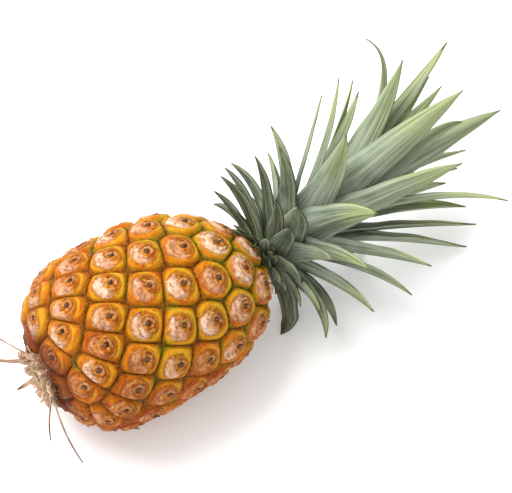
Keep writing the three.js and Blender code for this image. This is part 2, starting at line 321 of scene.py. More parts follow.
def barrelLevel(points):
    # below 0 inside the barrel, 0 on its skin
    fromBelly = points[..., 0] - fruit["bellyX"]
    towardBase = np.maximum(-fromBelly, 0) / fruit["baseReach"]
    towardCrown = np.maximum(fromBelly, 0) / fruit["crownReach"]
    across = (points[..., 1] ** 2 + points[..., 2] ** 2) / fruit["radius"] ** 2
    return towardBase ** fruit["baseRoundness"] + towardCrown ** fruit["crownRoundness"] + across - 1


def barrelNormal(points):
    fromBelly = points[..., 0] - fruit["bellyX"]
    towardBase = np.maximum(-fromBelly, 0) / fruit["baseReach"]
    towardCrown = np.maximum(fromBelly, 0) / fruit["crownReach"]
    slope = fruit["crownRoundness"] * towardCrown ** (fruit["crownRoundness"] - 1) / fruit["crownReach"]
    slope = slope - fruit["baseRoundness"] * towardBase ** (fruit["baseRoundness"] - 1) / fruit["baseReach"]
    across = 2 / fruit["radius"] ** 2
    return unit(np.stack([slope, points[..., 1] * across, points[..., 2] * across], axis=-1))


def barrelRadius(x):
    flat = np.zeros_like(x)
    return fruit["radius"] * np.sqrt(np.maximum(0, -barrelLevel(np.stack([x, flat, flat], axis=-1))))


def barrelPoints(x, angle):
    radius = barrelRadius(x)
    return np.stack([x, -radius * np.sin(angle), radius * np.cos(angle)], axis=-1)


def ontoFloor(points):
    # from the barrel's own frame to where the fruit lies, its crown end sagging sideways
    laid = points + [0, 0, fruit["axisHeight"]]
    laid[..., 1] -= fruit["crownSag"] * (np.maximum(0, points[..., 0]) / fruit["neckX"]) ** 2
    return laid


def eyeCentres():
    index = np.arange(rind["firstEye"], rind["lastEye"] + 1)
    step = index / rind["eyesPerStep"]
    x = sum(term * step**power for power, term in enumerate(rind["alongAxis"]))
    turn = sum(term * step**power for power, term in enumerate(rind["extraTurn"]))
    return barrelPoints(x, np.radians(turn - fruit["goldenAngle"] * index)), index


def eyeAxes(centres):
    # over the skin towards the crown, and round the fruit
    normal = barrelNormal(centres)
    ahead = unit(np.array([1.0, 0, 0]) - normal * normal[:, :1])
    return ahead, np.cross(normal, ahead)


def eyePit(index):
    # how far the pit lies ahead of the eye's middle, and to its side
    varyAhead, varyAside = rind["pitVary"]
    return rind["pitAhead"] + varyAhead * scatter(index, 5), varyAside * scatter(index, 6)


def eyePlace(points):
    # for every point: place ahead of its eye's pit, place beside it, distance from the groove, eye number
    centres, index = eyeCentres()
    ahead, around = eyeAxes(centres)
    soft = rind["cornerRounding"]
    results = []
    for part in np.array_split(points, 60):
        distance = np.linalg.norm(part[:, None] - centres[None], axis=-1)
        order = np.argsort(distance, axis=1)[:, :6]
        near = np.take_along_axis(distance, order, axis=1)
        spare = (near[:, 1:] - near[:, :1]) / 2
        groove = np.maximum(0, -soft * np.log(np.sum(np.exp(-spare / soft), axis=1)))
        own = order[:, 0]
        offset = part - centres[own]
        pitAlong, pitAcross = eyePit(index[own])
        along = np.sum(offset * ahead[own], axis=1) - pitAlong
        across = np.sum(offset * around[own], axis=1) - pitAcross
        results.append(np.stack([along, across, groove, index[own]], axis=-1))
    return np.concatenate(results).T


def rindHeight(along, across, groove, owner):
    toGroove = np.minimum(1, groove / rind["domeReach"])
    drop = rind["domeHeight"] + rind["grooveDepth"]
    height = rind["domeHeight"] - drop * (1 - toGroove) ** rind["domeFullness"]
    onSkin = smooth(groove, 0.6, 2.2)
    # round face, sunk a little inside a crease that is uneven from eye to eye
    behind = along + rind["faceBehind"]
    fromMiddle = np.hypot(behind, across)
    angle = np.arctan2(across, behind)
    outline = rind["faceRadius"] + 0.5 * np.sin(2 * angle + 3 * scatter(owner, 9))
    outline = outline + 0.25 * np.sin(5 * angle + 3 * scatter(owner, 10))
    height = height - rind["faceDrop"] * (1 - smooth(fromMiddle, outline - 1.2, outline + 0.8)) * onSkin
    height = height - rind["creaseDepth"] * bump(fromMiddle, outline, rind["creaseWidth"]) * onSkin
    # papery scale round the base side of the face, its inner edge free
    towardBase = -behind / (fromMiddle + 0.3)
    scale = smooth(fromMiddle, *rind["scaleInner"]) * (1 - smooth(fromMiddle, *rind["scaleOuter"]))
    scale = scale * smooth(towardBase, -0.4, 0.3)
    height = height + rind["scaleLift"] * scale * (1.3 - fromMiddle / 8) * onSkin
    # two curved folds on the crown side, three sepals round the pit, and the pit itself
    fromPit = np.hypot(along, across)
    folds = bump(fromPit, rind["foldRadius"] + 0.5 * scatter(owner, 11), 0.9)
    folds = folds - 0.7 * bump(fromPit, rind["foldRadius"] - 1.5, 0.8)
    height = height + rind["foldHeight"] * folds * (1 - scale) * smooth(along, -3, 0.5) * onSkin
    sepals = 0.5 + 0.5 * np.cos(3 * angle + 2 * scatter(owner, 3))
    height = height + rind["sepalHeight"] * sepals * bump(fromPit, rind["sepalRadius"], 1.0) * onSkin
    height = height - rind["pitDepth"] * bump(fromPit, 0, rind["pitWidth"])
    wrinkles = np.sin(angle * 9 + 5 * scatter(owner, 4) + fromPit) * smooth(fromPit, 2.2, 4.5)
    return height + rind["wrinkleHeight"] * wrinkles * onSkin


def barrelRows():
    # even steps over the skin, from the rim of the recess to the rim of the socket
    sweep = np.linspace(0, np.pi / 2, 4000)
    towardBase = fruit["bellyX"] - fruit["baseReach"] * np.cos(sweep)
    towardCrown = fruit["bellyX"] + fruit["crownReach"] * np.sin(sweep)[1:]
    x = np.concatenate([towardBase, towardCrown])
    radius = barrelRadius(x)
    kept = radius >= np.where(x > fruit["bellyX"], fruit["socketRadius"], fruit["recessRadius"])
    x, radius = x[kept], radius[kept]
    length = np.concatenate([[0], np.cumsum(np.hypot(np.diff(x), np.diff(radius)))])
    return np.interp(np.linspace(0, length[-1], rind["rows"]), length, x)


def hollowRings(rim, floorX, centreY):
    # from a rim down a wall and over a floor almost to its middle
    centre = np.array([floorX, centreY, fruit["axisHeight"]])
    rings = []
    for deep, wide in fruit["hollow"]:
        ring = rim.copy()
        ring[:, 0] += (floorX - rim[:, 0]) * deep
        ring[:, 1:] = centre[1:] + (rim[:, 1:] - centre[1:]) * wide
        rings.append(ring)
    return rings


def makeRind():
    x = barrelRows()
    columns = rind["columns"]
    angle = np.linspace(0, 2 * np.pi, columns, endpoint=False)
    skin = barrelPoints(*np.meshgrid(x, angle, indexing="ij")).reshape(-1, 3)
    along, across, groove, owner = eyePlace(skin)
    raised = ontoFloor(skin + barrelNormal(skin) * rindHeight(along, across, groove, owner)[:, None])
    raised[:, 2] = np.maximum(rind["clearOfFloor"], raised[:, 2])
    base = hollowRings(raised[:columns], fruit["recessFloorX"], 0)
    socket = hollowRings(raised[-columns:], fruit["socketFloorX"], -fruit["crownSag"])
    blocks = base[::-1] + [raised] + socket
    rings = len(x) + len(blocks) - 1
    hollow = np.zeros((len(base) * columns, 3))
    places = np.stack([along, across, groove], axis=-1)
    tones = [scatter(owner, 7), skin[:, 0] / fruit["halfLength"], scatter(owner, 8)]
    tones = np.stack(tones, axis=-1) / 2 + 0.5
    marks = {"eyePlace": [hollow, places, hollow], "eyeTone": [hollow, tones, hollow]}
    makePiece("rind", "fruit", blocks, tubeFaces(rings, columns), rindMaterial(), marks)


def rindMaterial():
    paint = Paint("rind")
    along, across, groove = paint.mark("eyePlace")
    tone, towardCrown, warmth = paint.mark("eyeTone")
    spot = paint.place()
    broad = paint.noise(spot, 30, 2)
    drift = paint.noise(spot, 130, 2)
    mottle = paint.noise(spot, 320, 4, 0.6)
    grain = paint.noise(spot, 1100, 3, 0.6)
    along = along + (drift - 0.5) * 3.5 + (mottle - 0.5) * 2
    across = across + (mottle - 0.5) * 2 + (grain - 0.5) * 1.2
    fromPit = (along * along + across * across) ** 0.5
    behind = along + rind["faceBehind"]
    fromMiddle = (behind * behind + across * across) ** 0.5
    ahead, aside = along / (fromPit + 0.3), across / (fromPit + 0.3)
    fibres = paint.noise(paint.join(ahead * 3, aside * 3, fromPit * 0.25 + tone * 40), 2, 4, 0.65)
    hoops = paint.noise(paint.join(ahead, aside, fromPit * 0.36 + tone * 60), 1.4, 3, 0.55)
    edge = groove + (mottle - 0.5) * 1.6
    height = paint.height(spot)
    # only the crown end's upper side; the paler scales this brings are partly painted light
    nearCrown = (towardCrown + (drift - 0.5) * 0.3).step(0.68, 0.92) * height.step(0.03, 0.08)

    # amber skin of the rim: some eyes redder, with a green tinge in places; painted shade makes the lower
    # side redder and darker
    # the height term is painted shade: the skin turns redder and darker towards the floor
    rednessAndShade = broad + warmth * 0.35 - height.step(0.02, 0.115) * 0.4 - towardCrown * 0.08
    rednessAndShade = rednessAndShade + (hoops - 0.5) * 1.1 + (mottle - 0.5) * 0.7
    colour = paint.ramp(rednessAndShade, rind["amber"])
    green = (paint.noise(spot, 70, 2) + towardCrown * 0.3 + nearCrown * 0.1).step(0.56, 0.82)
    colour = paint.mix(green * along.step(-5, 3) * 0.5, colour, rind["unripe"])

    # round face of an eye: hoops of orange, brown and cream round the pit
    ragged = fromMiddle + (mottle - 0.5) * 3 - nearCrown * 1.5
    face = (1 - ragged.step(rind["faceRadius"] - 1.5, rind["faceRadius"] + 0.9)) * edge.step(0.6, 2.0)
    colour = paint.mix(face * 0.85, colour, paint.ramp(hoops + (grain - 0.5) * 0.4, rind["hoops"]))

    # papery scale round the base side of the face, pink to cream, all round it near the crown; paler on the
    # upper side as painted light
    towardBase = -behind / (fromMiddle + 0.3)
    # the height term is painted light: the scales turn paler higher up the fruit
    ruddyAndShade = warmth * 0.6 + broad * 0.7 - height.step(0.04, 0.115) * 0.4 - towardCrown * 0.25
    pale = 1 - ruddyAndShade.step(0.05, 0.5) * 0.8
    scale = (towardBase + (fibres - 0.5) * 0.8 + nearCrown * 0.9).step(-0.3, 0.4)
    scale = scale * face * fromPit.step(3.4, 5.6)
    scale = scale * (0.55 + drift.step(0.38, 0.52) * 0.45)
    cream = paint.mix(fibres.step(0.36, 0.6), rind["scalePink"], rind["scaleCream"])
    cream = paint.mix(nearCrown * 0.6, cream, rind["scaleByCrown"])
    colour = paint.mix(scale * pale, colour, cream)
    vein = scale * (1 - hoops.step(0.38, 0.48))
    colour = paint.mix(vein * 0.8, colour, rind["vein"])

    # painted highlight on the lit outer edge, folds on the crown side, the crease at the rim, and the pit
    # with a painted highlight on its lit side
    rimHighlight = fromMiddle.band(rind["faceRadius"] + 1.8, 1.3) * along.step(-1, 3) * edge.step(0.8, 2.0)
    colour = paint.mix(rimHighlight * 0.55, colour, rind["litEdge"])
    folds = (fromPit.band(4.2, 1.2) + fromPit.band(6.6, 1.1) * 0.8) * along.step(-2, 1.5) * face
    colour = paint.mix(folds * (0.4 + mottle.step(0.4, 0.6) * 0.5), colour, rind["fold"])
    crease = fromMiddle.band(rind["faceRadius"], 1.2) * edge.step(0.8, 2.0) * mottle.step(0.35, 0.55)
    colour = paint.mix(crease * 0.45, colour, rind["crease"])
    # painted highlight beside the pit, on one side of it only
    pitHighlight = fromPit.band(2.9, 1.4) * fibres.step(0.44, 0.6) * (across + along).step(-2, 1)
    colour = paint.mix(pitHighlight * 0.7, colour, rind["pitHighlight"])
    pit = 1 - fromPit.step(0.9, 2.3)
    colour = paint.mix(pit * 0.95, colour, rind["pit"])

    # grooves brown or still green, painted shade where the rind is deepest, and dark skin round the stub
    # with painted shade in the recess and the socket
    grooveColour = paint.mix(green, rind["grooveBrown"], rind["grooveGreen"])
    grooveColour = paint.mix(mottle.step(0.46, 0.6) * 0.7, grooveColour, rind["grooveSpot"])
    colour = paint.mix(1 - edge.step(0.1, 1.7), colour, grooveColour)
    # painted shade along the bottom of the grooves
    colour = paint.mix((1 - groove.step(0.0, 0.4)) * 0.3, colour, rind["grooveShade"])
    # dark skin near the stub end, and painted shade on the walls of the recess and the socket, which carry
    # no eye marks
    stubEndAndHollows = 1 - (towardCrown + (mottle - 0.5) * 0.04).step(0.01, 0.06)
    colour = paint.mix(stubEndAndHollows * 0.8, colour, rind["stubSkinAndShade"])

    relief = hoops * 1.2 + fibres * 0.5 + grain * 0.4 + scale * 0.3 - folds * 0.6 - crease * 0.4
    return paint.finish({
        "Base Color": colour,
        "Roughness": 0.5 + scale * 0.2,
        "Specular IOR Level": 0.1,
        "Normal": paint.bump(relief, 1, 1.4 * mm),
    })


makeRind()


# Dry tips of the papery scales, one over the pit of every eye

scaleTips = {
    "length": 3.8,
    "width": 3.0,
    "thickness": 0.35,
    "edge": 0.2,
    "behindPit": 2.4,
    "rise": 0.7,
    "lift": 3,
    "curl": 14,
    "lengthVary": 0.3,
    "liftVary": 10,
    "bendVary": 0.8,
    "steps": 7,
    "across": 5,
    "lowest": 9,  # none on the eyes that lie on the floor
    "darkness": 0.85,
}

# colours of everything dry: scale tips, bracts, fibres and strands
dryColours = {
    "straw": [(0.34, (0.24, 0.11, 0.06)), (0.5, (0.56, 0.35, 0.23)), (0.66, (0.82, 0.66, 0.52))],
    "brown": (0.07, 0.025, 0.009),
    # painted shade for the collar ring in the hollow round the stub
    "hollow": (0.12, 0.035, 0.018),
}


def bladeRings(spine, side, width, gutter, thickness, edge, across):
    # rings of a closed, gutter-shaped blade: each runs over its upper face and back under it
    heading = unit(np.gradient(spine, axis=0))
    sideways = unit(side - heading * (heading @ side)[:, None])
    face = np.cross(sideways, heading)
    reach = np.linspace(-1, 1, across)
    rise = gutter[:, None] * width[:, None] * np.abs(reach) ** 1.5
    half = (thickness[:, None] + (edge - thickness[:, None]) * np.abs(reach) ** 1.3) / 2
    middle = spine[:, None] + sideways[:, None] * (reach * width[:, None] / 2)[..., None]
    upper = middle + face[:, None] * (rise + half)[..., None]
    under = middle + face[:, None] * (rise - half)[..., None]
    return np.concatenate([upper, under[:, ::-1]], axis=1)


def bladePlaces(rows, across):
    # for every point of a blade: place across it, place along it, and 1 on its under face
    reach = np.linspace(-1, 1, across)
    ring = np.concatenate([reach, reach[::-1]])
    under = np.repeat([0.0, 1.0], across)
    along = np.linspace(0, 1, rows)
    columns = [np.tile(ring, rows), np.repeat(along, 2 * across), np.tile(under, rows)]
    return np.stack(columns, axis=-1)


def makeScaleTips():
    centres, index = eyeCentres()
    ahead, around = eyeAxes(centres)
    normal = barrelNormal(centres)
    pitAlong, pitAcross = eyePit(index)
    steps, across = scaleTips["steps"], scaleTips["across"]
    part = np.linspace(0, 1, steps + 1)
    tips = Bunch()
    for number in range(len(centres)):
        if centres[number, 2] + fruit["axisHeight"] < scaleTips["lowest"]:
            continue
        length = scaleTips["length"] * (1 + scaleTips["lengthVary"] * scatter(number, 21))
        lift = scaleTips["lift"] + scaleTips["liftVary"] * scatter(number, 22) + scaleTips["curl"] * part
        lift = np.radians(lift)
        forward = np.cumsum(np.cos(lift)) * length / steps - scaleTips["behindPit"] + pitAlong[number]
        upward = np.cumsum(np.sin(lift)) * length / steps + scaleTips["rise"]
        sideways = pitAcross[number] + scaleTips["bendVary"] * scatter(number, 23) * part**2
        spine = centres[number] + ahead[number] * forward[:, None] + normal[number] * upward[:, None]
        spine = ontoFloor(spine + around[number] * sideways[:, None])
        width = np.maximum(0.3, scaleTips["width"] * (1 - part**1.6))
        flat = np.full_like(part, scaleTips["thickness"])
        rings = bladeRings(spine, around[number], width, flat, flat, scaleTips["edge"], across)
        tips.add(rings, bladePlaces(steps + 1, across), [0.5 + 0.5 * scatter(number, 24), 0, 0])
    tips.make("scale_tips", "fruit", dryMaterial("scale tip", scaleTips["darkness"]))


def dryMaterial(name, darkness):
    # fibrous dead leaf, from straw to dark brown, darkest at the ends of long strands; the collar ring gets
    # painted shade for the hollow round the stub
    paint = Paint(name)
    reach, part = paint.mark("bladePlace")[:2]
    seed, isStrand, inHollowShade = paint.mark("bladeTone")
    fibre = paint.noise(paint.join(reach * 5, part * 2, seed * 60), 1.6, 4, 0.6)
    blotch = paint.noise(paint.place(), 200, 3)
    colour = paint.ramp(fibre, dryColours["straw"])
    brown = blotch * 0.5 + seed * 0.2 + part * (isStrand * 0.9 + 0.1) + (darkness - 0.4)
    colour = paint.mix(brown.step(0.1, 0.8) * 0.9, colour, dryColours["brown"])
    # painted shade on the collar ring, which sits in the hollow round the stub
    colour = paint.mix(inHollowShade * 0.8, colour, dryColours["hollow"])
    return paint.finish({
        "Base Color": colour,
        "Roughness": 0.85,
        "Specular IOR Level": 0.1,
        "Normal": paint.bump(fibre, 0.6, 0.6 * mm),
    })


makeScaleTips()


# Crown: leaves on a core that leans up and sideways from the fruit

crown = {
    "lift": 8,
    "side": 7,
    "leaves": 66,
    "gutter": 0.18,
    "thickness": 1.7,
    "edge": 0.7,
    "ripple": 0.03,
    "clearOfRind": 2.7,
    "clearOfFloor": 0.4,
    "floorSoftness": 3,
    "steps": 48,
    "across": 9,
    # how the leaves change up the crown: pairs of place (0 lowest leaf, 1 topmost) and value
    "plan": {
        "at": [(0, 4), (0.15, 6.5), (0.45, 18), (0.55, 25), (1, 50)],
        "radius": [(0, 15), (0.45, 13), (0.55, 11), (1, 3)],
        "startTilt": [(0, 75), (0.15, 68), (0.42, 58), (0.55, 42), (0.72, 27), (0.88, 14), (1, 4)],
        "endTilt": [(0, 112), (0.15, 100), (0.42, 84), (0.55, 62), (0.72, 38), (0.88, 21), (1, 8)],
        "length": [
            (0, 28),
            (0.12, 44),
            (0.2, 54),
            (0.45, 64),
            (0.55, 84),
            (0.66, 120),
            (0.8, 136),
            (0.9, 130),
            (1, 85),
        ],
        "width": [(0, 12), (0.15, 15), (0.42, 17), (0.55, 21), (0.7, 25), (0.88, 22), (1, 12)],
    },
    "turn": 40,  # where the lowest leaf stands, round the core
    "vary": {"around": 10, "startTilt": 5, "endTilt": 9, "length": 0.14, "width": 0.12, "sway": 0.16},
    # leaves that stand out from the plan, counted from the lowest
    "ownLeaves": {
        6: {"length": 76, "around": 158, "startTilt": 86, "endTilt": 122, "width": 26},
        11: {"length": 42, "around": 100, "width": 16},
        14: {"length": 58, "around": 195},
        15: {"length": 47, "around": 297},
        16: {"length": 57, "around": 120, "endTilt": 120, "width": 22},
        19: {"length": 59, "around": 139, "endTilt": 104, "width": 22},
        20: {"length": 54},
        24: {"width": 22},
        26: {"length": 54, "width": 23, "endTilt": 92},
        28: {"length": 52, "around": 292, "endTilt": 94},
        29: {"width": 21},
        31: {"width": 22},
        32: {"length": 84},
        34: {"length": 73, "width": 26},
        35: {"length": 84},
        36: {"length": 66},
        37: {"length": 88, "around": 106, "endTilt": 58},
        38: {"length": 73, "around": 212},
        39: {"length": 80, "around": 8, "width": 25},
        40: {"length": 129, "around": 138},
        41: {"length": 88, "width": 9, "endTilt": 33},
        43: {"length": 136, "around": 140, "endTilt": 43, "width": 15},
        44: {"length": 98, "width": 9, "endTilt": 38},
        45: {"length": 146, "around": 79, "startTilt": 21, "endTilt": 75, "width": 10, "sway": 0.21},
        46: {"length": 114, "width": 10, "endTilt": 33},
        47: {"length": 138, "around": 18, "endTilt": 27, "width": 27},
        48: {"around": 158, "endTilt": 36},
        49: {"length": 92, "endTilt": 24, "width": 22},
        50: {"length": 95, "around": 79, "endTilt": 19},
        51: {"length": 125, "around": 48, "endTilt": 23, "hook": 60, "width": 20},
        52: {"length": 120, "width": 26},
        53: {"length": 109, "around": 135, "endTilt": 22},
        55: {"length": 140, "around": 52, "endTilt": 18, "width": 29},
        57: {"length": 142, "endTilt": 14, "width": 27},
        58: {"length": 112, "around": 105},
        62: {
            "length": 131,
            "around": 357,
            "startTilt": 0,
            "endTilt": 56,
            "sway": 0.4,
            "hook": 71,
            "width": 10,
        },
    },
    # small scale leaves that hide the joint between the fruit and the crown
    "neckLeaves": {
        "count": 15,
        "at": 3,
        "radius": 14.5,
        "startTilt": 72,
        "endTilt": 112,
        "length": 17,
        "width": 10,
        "height": 0.15,  # coloured like leaves this far up the crown
    },
    "neckVary": {"around": 8, "endTilt": 10, "length": 0.3, "sway": 0.2},
    "plugPlay": 0.7,  # room between the foot of the core and the wall of its socket
    "plugLift": 0.4,
    "plugLength": 4.3,  # straight part past the neck, before the core leans
    # radius of the core at distances up from the neck
    "core": [(9, 14.5), (18, 12.5), (30, 9.5), (42, 7), (50, 5), (54, 2.5)],
    "coreSides": 32,
    "paleSide": 85,  # leaves on this side, in degrees round the core, turn grey lower down
    "palerBy": 0.38,
    "dark": [(0.37, (0.007, 0.012, 0.003)), (0.5, (0.034, 0.046, 0.014)), (0.64, (0.17, 0.19, 0.095))],
    "grey": [(0.35, (0.040, 0.064, 0.026)), (0.5, (0.12, 0.158, 0.086)), (0.64, (0.32, 0.37, 0.25))],
    "fresh": [(0.36, (0.07, 0.11, 0.012)), (0.5, (0.21, 0.26, 0.045)), (0.66, (0.44, 0.48, 0.14))],
    "margin": (0.40, 0.46, 0.30),
    "base": (0.22, 0.29, 0.09),
    "bloom": (0.38, 0.43, 0.36),
    "silver": (0.40, 0.44, 0.37),
    "shade": (0.020, 0.032, 0.010),
    "dryTip": (0.13, 0.075, 0.03),
}

lean = [1, math.tan(math.radians(crown["side"])), math.tan(math.radians(crown["lift"]))]
crownAxis = unit(np.array(lean))
crownAcross = unit(np.cross(crownAxis, [0, 0, 1.0]))
crownUp = np.cross(crownAcross, crownAxis)
neck = np.array([fruit["neckX"], -fruit["crownSag"], fruit["axisHeight"]])


def leafRule(index):
    place, vary = index / (crown["leaves"] - 1), crown["vary"]
    rule = {name: float(np.interp(place, *zip(*pairs))) for name, pairs in crown["plan"].items()}
    rule["around"] = index * fruit["goldenAngle"] + crown["turn"] + vary["around"] * scatter(index, 1)
    rule["startTilt"] += vary["startTilt"] * scatter(index, 2)
    rule["endTilt"] += vary["endTilt"] * scatter(index, 3)
    rule["length"] *= 1 + vary["length"] * scatter(index, 4)
    rule["width"] *= 1 + vary["width"] * scatter(index, 5)
    rule["sway"] = vary["sway"] * scatter(index, 6)
    rule["hook"] = 0
    rule["height"] = index / crown["leaves"]
    rule.update(crown["ownLeaves"].get(index, {}))
    return rule


def neckLeafRule(index):
    rule, vary = dict(crown["neckLeaves"]), crown["neckVary"]
    rule["sway"] = vary["sway"] * scatter(index, 31)
    rule["around"] = index * 360 / rule["count"] + vary["around"] * scatter(index, 32)
    rule["length"] *= 1 + vary["length"] * scatter(index, 33)
    rule["endTilt"] += vary["endTilt"] * scatter(index, 34)
    rule["hook"] = 0
    return rule


def leafTaper(part):
    return (1 - part**3) * (0.86 + 0.14 * np.sin(np.pi * np.minimum(1, part * 2.2)))


def keepClear(points, spare):
    # above the floor and off the shoulder of the fruit
    lowest = crown["clearOfFloor"] + spare
    over = (points[:, 2] - lowest) / crown["floorSoftness"]
    kept = points.copy()
    kept[:, 2] = lowest + crown["floorSoftness"] * np.logaddexp(0, over)
    radius = np.hypot(kept[:, 1] + fruit["crownSag"], kept[:, 2] - fruit["axisHeight"])
    inside = 1 - (np.minimum(radius, fruit["radius"]) / fruit["radius"]) ** 2
    shoulder = fruit["bellyX"] + fruit["crownReach"] * inside ** (1 / fruit["crownRoundness"])
    kept[:, 0] = np.maximum(kept[:, 0], shoulder + crown["clearOfRind"])
    return kept


def leafSpine(rule):
    around = math.radians(rule["around"])
    outward = crownUp * math.cos(around) + crownAcross * math.sin(around)
    side = -np.cross(crownAxis, outward)
    part = ((np.arange(crown["steps"]) + 0.5) / crown["steps"])[:, None]
    curl = rule["hook"] * np.maximum(0, (part - 0.75) / 0.25) ** 1.5
    tilt = np.radians(rule["startTilt"] + (rule["endTilt"] - rule["startTilt"]) * part**1.2 + curl)
    heading = unit(crownAxis * np.cos(tilt) + outward * np.sin(tilt) + side * rule["sway"] * 2 * part)
    start = neck + crownAxis * rule["at"] + outward * (rule["radius"] - 4)
    spine = start + np.cumsum(heading, axis=0) * rule["length"] / crown["steps"]
    spine = np.concatenate([start[None], spine])
    taper = leafTaper(np.linspace(0, 1, crown["steps"] + 1))
    spare = crown["thickness"] / 2 + abs(side[2]) * rule["width"] * 0.5 * taper
    return keepClear(spine, spare), side


def leafRings(rule, index):
    spine, side = leafSpine(rule)
    part = np.linspace(0, 1, len(spine))
    width = np.maximum(0.4, rule["width"] * leafTaper(part))
    thickness = crown["thickness"] + (crown["edge"] - crown["thickness"]) * part
    gutter = crown["gutter"] * (1 + part)
    rings = bladeRings(spine, side, width, gutter, thickness, crown["edge"], crown["across"])
    # a slow ripple along both margins
    reach = np.linspace(-1, 1, crown["across"])
    reach = np.concatenate([reach, reach[::-1]])
    ripple = np.sin(part[:, None] * rule["length"] / 5 + index + (reach > 0) * 1.7) * np.abs(reach) ** 3
    size = crown["ripple"] * width[:, None] * smooth(part[:, None], 0.05, 0.3)
    rings = rings + (ripple * size)[..., None] * np.cross(side, crownAxis)
    rings[..., 2] = np.maximum(rings[..., 2], crown["clearOfFloor"])
    return rings


def coreRings():
    # plug in the socket of the fruit, then a cone along the crown's own axis
    straight = np.array([1.0, 0, 0])
    plug = fruit["socketRadius"] - crown["plugPlay"]
    start = np.array([fruit["socketFloorX"] + crown["plugLift"], neck[1], neck[2]])
    levels = [(start, straight, plug), (neck + straight * crown["plugLength"], straight, plug)]
    for at, radius in crown["core"]:
        levels.append((neck + crownAxis * at, crownAxis, radius))
    angle = np.linspace(0, 2 * np.pi, crown["coreSides"], endpoint=False)[:, None]
    rings = []
    for centre, axis, radius in levels:
        across = unit(np.cross(axis, [0, 0, 1.0]))
        rings.append(centre + radius * (np.sin(angle) * across + np.cos(angle) * np.cross(across, axis)))
    return np.array(rings)


def makeCrown():
    rules = [leafRule(index) for index in range(crown["leaves"])]
    rules += [neckLeafRule(index) for index in range(crown["neckLeaves"]["count"])]
    leaves = Bunch()
    places = bladePlaces(crown["steps"] + 1, crown["across"])
    for index, rule in enumerate(rules):
        facing = max(0, math.cos(math.radians(rule["around"] - crown["paleSide"])))
        height = rule["height"] + crown["palerBy"] * facing**2
        tone = [height, 0.5 + 0.5 * scatter(index, 9), 0.5 + 0.5 * scatter(index, 10)]
        leaves.add(leafRings(rule, index), places, tone)
    core = coreRings()  # coloured like the foot of a dark leaf
    leaves.add(core, np.tile([0, 0.3, 0], (core.shape[0] * core.shape[1], 1)), [0.1, 0.5, 0.5])
    leaves.make("crown_leaves", "crown", leafMaterial())


def leafMaterial():
    paint = Paint("crown leaf")
    reach, part, under = paint.mark("bladePlace")
    height, seed, dryness = paint.mark("bladeTone")
    soft = paint.noise(paint.place(), 60, 3)
    strands = paint.noise(paint.join(reach * 7, part * 1.5, seed * 50), 1.2, 4, 0.6)
    threads = paint.noise(paint.join(reach * 30, part * 2.4, seed * 70), 1.4, 2)

    # lower leaves dark green, long ones grey-green
    greyness = (height + (soft - 0.5) * 0.3).step(0.36, 0.62)
    colour = paint.mix(greyness, paint.ramp(strands, crown["dark"]), paint.ramp(strands, crown["grey"]))

    # yellow-green towards the tips, pale margins
    yellow = (part + (soft - 0.5) * 0.6).step(0.35, 0.95) * greyness * (0.45 + seed * 0.5)
    colour = paint.mix(yellow, colour, paint.ramp(strands, crown["fresh"]))
    margin = abs(reach).band(0.86, 0.12) * part.step(0.1, 0.4) * (1 - part.step(0.85, 0.98))
    colour = paint.mix(margin * 0.45, colour, crown["margin"])

    # pale bases, grey bloom on the inner part, silvery under faces, dark threads and darker upper faces
    base = (1 - part.step(0.02, 0.25)) * (0.35 + greyness * 0.2)
    colour = paint.mix(base, colour, crown["base"])
    bloom = (1 - part.step(0.3, 0.85)) * soft.step(0.35, 0.65) * (0.12 + greyness * 0.3)
    colour = paint.mix(bloom, colour, crown["bloom"])
    silver = under * threads.step(0.4, 0.6) * (0.2 + greyness * 0.35)
    colour = paint.mix(silver, colour, crown["silver"])
    shade = threads.step(0.5, 0.66) * 0.5 + (1 - under) * (0.55 - greyness * 0.3)
    shade = shade * (1 - greyness * part.step(0.3, 1) * 0.7)
    colour = paint.mix(shade, colour, crown["shade"])

    dry = (part + (soft - 0.5) * 0.05 + dryness * 0.025).step(0.965, 0.995)
    colour = paint.mix(dry * 0.8, colour, crown["dryTip"])
    return paint.finish({
        "Base Color": colour,
        "Roughness": 0.55 + bloom * 0.5,
        "Specular IOR Level": 0.16,
        "Normal": paint.bump(threads * 0.6 + strands * 0.4, 0.5, 0.6 * mm),
    })


makeCrown()


# Stub of the stalk, with a fibrous cut end

stub = {
    "radius": 10.5,
    "startX": -70.4,
    "endX": -79.5,
    "startInset": 0.6,
    # rounded edge of the cut: how far in from the wall, and how far back from the end
    "edge": [(0, 4.5), (0.1, 2.1), (0.5, 0.8), (1.2, 0.25), (2.2, 0)],
    "dip": 1.6,  # the middle of the cut end has dried in by this much
    "dipRings": [0.66, 0.5, 0.35, 0.2, 0.03],  # as parts of the radius
    "sides": 72,
    "ripple": 0.012,
    "fibre": [(0.3, (0.20, 0.12, 0.05)), (0.5, (0.40, 0.29, 0.17)), (0.75, (0.56, 0.47, 0.33))],
    "ring": (0.26, 0.15, 0.06),
    "hollow": (0.06, 0.02, 0.01),
}


def latheRings(profile, sides, ripple):
    # pairs of radius and x turned about the axis of the fruit, not quite round
    angle = np.linspace(0, 2 * np.pi, sides, endpoint=False)
    rings = []
    for level, (radius, x) in enumerate(profile):
        waves = np.sin(angle * 7 + level * 0.6) + 0.6 * np.sin(angle * 17 - level)
        uneven = radius * (1 + ripple * waves)
        height = uneven * np.cos(angle) + fruit["axisHeight"]
        rings.append(np.stack([np.full(sides, x), uneven * np.sin(angle), height], axis=-1))
    return np.array(rings)


